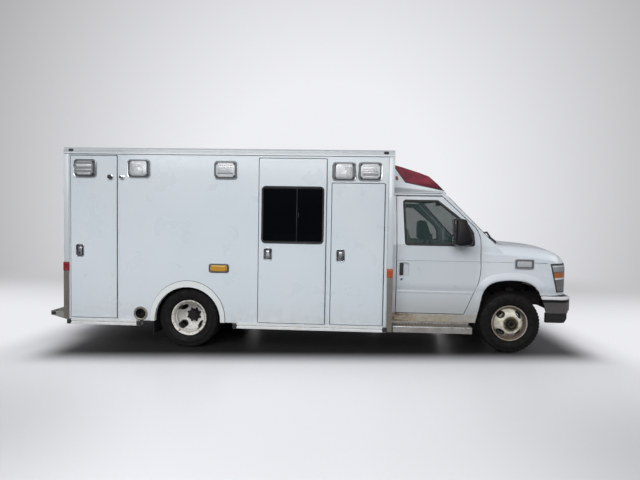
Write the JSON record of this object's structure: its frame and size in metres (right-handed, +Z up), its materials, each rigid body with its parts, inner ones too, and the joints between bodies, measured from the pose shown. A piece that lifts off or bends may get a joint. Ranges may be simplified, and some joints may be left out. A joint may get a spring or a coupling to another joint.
{
  "type": "ambulance with box module on van cab",
  "caption": "White ambulance: a van cab and a box-shaped patient module on one ladder frame, with twin rear wheels, steering, doors, lockers and a red roof light.",
  "frame": {"origin": "on the ground under the centre of the overall bounding box", "axes": "+X forward, +Y to the left, +Z up"},
  "size_m": [6.598, 2.54, 2.47],
  "materials": {
    "body_white": "gloss white paint, lightly stained and scratched",
    "interior_panel": "satin sheet",
    "frame_black": "black underbody paint with light rust",
    "engine_iron": "matte",
    "tank_steel": "dull, weathered",
    "stainless": "polished, dulled by dirt",
    "tread_plate": "raised tread pattern, worn",
    "chrome": "polished",
    "black_plastic": "grained matte",
    "seat_vinyl": "grey vinyl, matte",
    "lamp_lens": "clear lens",
    "amber_lens": "ribbed amber lens",
    "red_lens": "ribbed red lens, translucent",
    "cab_glass": "green-grey tint",
    "tinted_glass": "dark privacy tint",
    "wheel_steel": "white wheel paint, rusty round hub and holes",
    "tyre_rubber": "matte black"
  },
  "bodies": {
    "root": {"body_lamps": "chrome", "cab_floor": "interior_panel", "cab_shell": "body_white", "chassis_frame": "frame_black", "corner_guards": "stainless", "dashboard": "black_plastic", "engine_block": "engine_iron", "exhaust": "tank_steel", "front_axle": "frame_black", "front_bumper": "chrome", "front_fenders": "body_white", "fuel_tank": "tank_steel", "grille": "chrome", "headlamps": "lamp_lens", "lightbar_lens": "red_lens", "lockers_left": "interior_panel", "lockers_right": "interior_panel", "marker_lamps": "amber_lens", "module_end_walls": "body_white", "module_floor": "interior_panel", "module_roof": "body_white", "module_side_left": "body_white", "module_side_right": "body_white", "rear_axle": "frame_black", "rear_step": "tread_plate", "roof_cap": "body_white", "running_boards": "tread_plate", "seats": "seat_vinyl", "skirt_trim": "body_white", "steering_wheel": "black_plastic", "valance_and_flaps": "black_plastic", "windscreen": "cab_glass"},
    "knuckle_right": {"knuckle_right": "frame_black"},
    "knuckle_left": {"knuckle_left": "frame_black"},
    "front_wheel_right": {"wheel_front_right": "wheel_steel", "tyre_front_right": "tyre_rubber"},
    "front_wheel_left": {"wheel_front_left": "wheel_steel", "tyre_front_left": "tyre_rubber"},
    "rear_wheels_right": {"wheels_rear_right": "wheel_steel", "tyres_rear_right": "tyre_rubber"},
    "rear_wheels_left": {"wheels_rear_left": "wheel_steel", "tyres_rear_left": "tyre_rubber"},
    "cab_door_right": {"cab_door_right": "body_white", "cab_glass_right": "cab_glass", "mirror_right": "black_plastic"},
    "cab_door_left": {"cab_door_left": "body_white", "cab_glass_left": "cab_glass", "mirror_left": "black_plastic"},
    "hood": {"hood": "body_white"},
    "entry_door": {"entry_door": "body_white", "entry_window": "tinted_glass"},
    "locker_door_right_front": {"locker_door_right_front": "body_white"},
    "locker_door_right_rear": {"locker_door_right_rear": "body_white"},
    "locker_door_left_front": {"locker_door_left_front": "body_white"},
    "locker_door_left_mid": {"locker_door_left_mid": "body_white"},
    "locker_door_left_rear": {"locker_door_left_rear": "body_white"},
    "rear_door_right": {"rear_door_right": "body_white", "rear_window_right": "tinted_glass"},
    "rear_door_left": {"rear_door_left": "body_white", "rear_window_left": "tinted_glass"}
  },
  "joints": [
    {"name": "steer_right", "type": "hinge", "parent": "root", "child": "knuckle_right", "pos_m": [2.499, -0.76, 0.372], "axis": [0, 0, 1], "range_deg": [-32, 32]},
    {"name": "steer_left", "type": "hinge", "parent": "root", "child": "knuckle_left", "pos_m": [2.499, 0.76, 0.372], "axis": [0, 0, 1], "range_deg": [-32, 32]},
    {"name": "roll_front_right", "type": "hinge", "parent": "knuckle_right", "child": "front_wheel_right", "pos_m": [2.499, -0.881, 0.372], "axis": [0, 1, 0], "continuous": true},
    {"name": "roll_front_left", "type": "hinge", "parent": "knuckle_left", "child": "front_wheel_left", "pos_m": [2.499, 0.881, 0.372], "axis": [0, 1, 0], "continuous": true},
    {"name": "roll_rear_right", "type": "hinge", "parent": "root", "child": "rear_wheels_right", "pos_m": [-1.514, -0.923, 0.372], "axis": [0, 1, 0], "continuous": true},
    {"name": "roll_rear_left", "type": "hinge", "parent": "root", "child": "rear_wheels_left", "pos_m": [-1.514, 0.923, 0.372], "axis": [0, 1, 0], "continuous": true},
    {"name": "cab_door_right_swing", "type": "hinge", "parent": "root", "child": "cab_door_right", "pos_m": [2.087, -0.993, 1], "axis": [0, 0, 1], "range_deg": [0, 65]},
    {"name": "cab_door_left_swing", "type": "hinge", "parent": "root", "child": "cab_door_left", "pos_m": [2.087, 0.993, 1], "axis": [0, 0, -1], "range_deg": [0, 65]},
    {"name": "hood_lift", "type": "hinge", "parent": "root", "child": "hood", "pos_m": [2.387, 0, 1.33], "axis": [0, -1, 0], "range_deg": [0, 50]},
    {"name": "entry_door_swing", "type": "hinge", "parent": "root", "child": "entry_door", "pos_m": [0.19, -1.216, 1.35], "axis": [0, 0, 1], "range_deg": [0, 100]},
    {"name": "locker_right_front_swing", "type": "hinge", "parent": "root", "child": "locker_door_right_front", "pos_m": [0.89, -1.216, 1.2], "axis": [0, 0, 1], "range_deg": [0, 110]},
    {"name": "locker_right_rear_swing", "type": "hinge", "parent": "root", "child": "locker_door_right_rear", "pos_m": [-2.389, -1.216, 1.35], "axis": [0, 0, 1], "range_deg": [0, 110]},
    {"name": "locker_left_front_swing", "type": "hinge", "parent": "root", "child": "locker_door_left_front", "pos_m": [0.89, 1.216, 1.2], "axis": [0, 0, -1], "range_deg": [0, 110]},
    {"name": "locker_left_mid_swing", "type": "hinge", "parent": "root", "child": "locker_door_left_mid", "pos_m": [-0.01, 1.216, 0.9], "axis": [0, 0, -1], "range_deg": [0, 110]},
    {"name": "locker_left_rear_swing", "type": "hinge", "parent": "root", "child": "locker_door_left_rear", "pos_m": [-2.389, 1.216, 1.35], "axis": [0, 0, -1], "range_deg": [0, 110]},
    {"name": "rear_door_right_swing", "type": "hinge", "parent": "root", "child": "rear_door_right", "pos_m": [-3.075, -0.734, 1.57], "axis": [0, 0, 1], "range_deg": [0, 110]},
    {"name": "rear_door_left_swing", "type": "hinge", "parent": "root", "child": "rear_door_left", "pos_m": [-3.075, 0.734, 1.57], "axis": [0, 0, -1], "range_deg": [0, 110]}
  ],
  "couplings": [
    {"joint": "steer_left", "follows": "steer_right", "ratio": 1}
  ]
}
